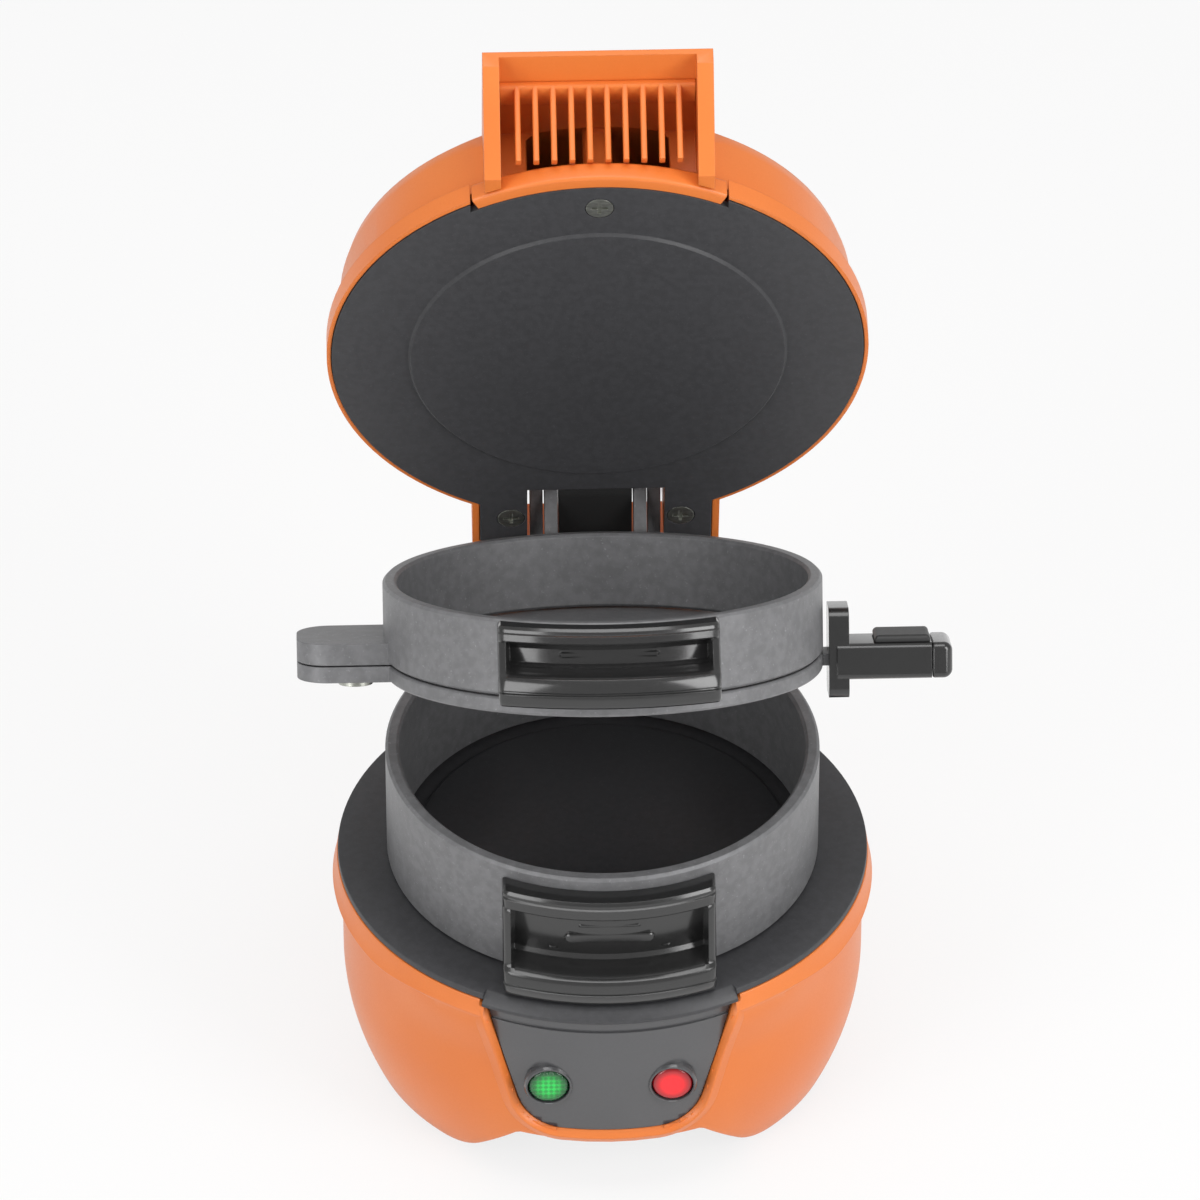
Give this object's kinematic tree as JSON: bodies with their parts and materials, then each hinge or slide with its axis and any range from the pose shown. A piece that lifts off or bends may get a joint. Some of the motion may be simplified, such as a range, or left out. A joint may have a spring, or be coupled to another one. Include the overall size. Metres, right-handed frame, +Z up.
{
  "type": "breakfast sandwich maker",
  "caption": "Round countertop sandwich maker: hinged domed lid with hood, two stacked rings with a swing-out egg plate, hot deck and lamp panel on a short base.",
  "frame": {"origin": "on the base's axis, at the level of the surface it stands on", "axes": "+Z up, -Y the front with the lamps, +X the side of the egg plate's handle; stored half open, as in the picture"},
  "size_m": [0.1609, 0.1494, 0.2754],
  "materials": {
    "orange_plastic": "satin moulded plastic",
    "black_plastic": "fine matt",
    "black_gloss": "polished moulded plastic",
    "panel_gloss": "polished dark grey",
    "green_lens": "clear tinted",
    "red_lens": "clear tinted",
    "dark_coated_plate": "matt non-stick coat",
    "grey_cast": "fine sandy non-stick coat",
    "zinc_steel": "zinc plated",
    "element_steel": "heat-tinted",
    "shield_sheet": "bare sheet",
    "lamp_glass": "clear",
    "pale_ceramic": "unglazed",
    "lead_sleeve": "silicone sleeve",
    "black_rubber": "matt"
  },
  "bodies": {
    "base": {"base_housing": "orange_plastic", "base_bottom_cover": "black_plastic", "bottom_cover_screws": "zinc_steel", "rubber_feet": "black_rubber", "control_panel": "panel_gloss", "preheat_lens": "green_lens", "power_lens": "red_lens", "indicator_lamps": "lamp_glass", "base_cooking_plate": "dark_coated_plate", "base_plate_screws": "zinc_steel", "lower_heating_element": "element_steel", "lower_heat_shield": "shield_sheet", "lower_shield_screw": "zinc_steel", "thermostat": "shield_sheet", "thermal_fuse": "lamp_glass", "terminal_block": "pale_ceramic", "base_wiring": "lead_sleeve", "cord_grommet": "black_rubber", "hinge_post": "black_plastic", "hinge_post_screws": "zinc_steel", "hinge_pin": "zinc_steel", "hinge_pin_clips": "zinc_steel"},
    "lower_ring": {"lower_ring": "grey_cast", "lower_ring_grip": "black_gloss", "lower_grip_screws": "zinc_steel"},
    "upper_ring": {"upper_ring": "grey_cast", "upper_ring_grip": "black_gloss", "upper_grip_screws": "zinc_steel", "plate_pivot_screw": "zinc_steel"},
    "egg_plate": {"egg_plate": "grey_cast", "pivot_spring_washer": "zinc_steel", "plate_handle_body": "black_gloss", "plate_handle_cap": "black_gloss", "plate_thumb_pad": "black_plastic", "plate_handle_screw": "zinc_steel"},
    "lid": {"lid_housing": "orange_plastic", "hood_grille": "orange_plastic", "lid_cooking_plate": "dark_coated_plate", "lid_plate_screws": "zinc_steel", "upper_heating_element": "element_steel", "upper_heat_shield": "shield_sheet", "upper_shield_screw": "zinc_steel", "lid_wiring": "lead_sleeve"}
  },
  "joints": [
    {"name": "lower_ring_hinge", "type": "hinge", "parent": "base", "child": "lower_ring", "pos_m": [0, 0.0625, 0.128], "axis": [-1, 0, 0], "range_deg": [0, 15]},
    {"name": "upper_ring_hinge", "type": "hinge", "parent": "lower_ring", "child": "upper_ring", "pos_m": [0, 0.0625, 0.128], "axis": [-1, 0, 0], "range_deg": [-25.4, 10]},
    {"name": "lid_hinge", "type": "hinge", "parent": "upper_ring", "child": "lid", "pos_m": [0, 0.0625, 0.128], "axis": [-1, 0, 0], "range_deg": [-50, 15]},
    {"name": "egg_plate_swing", "type": "hinge", "parent": "upper_ring", "child": "egg_plate", "pos_m": [-0.061, -0.00816, 0.12491], "axis": [0, -0.4289, -0.9033], "range_deg": [0, 100]}
  ]
}
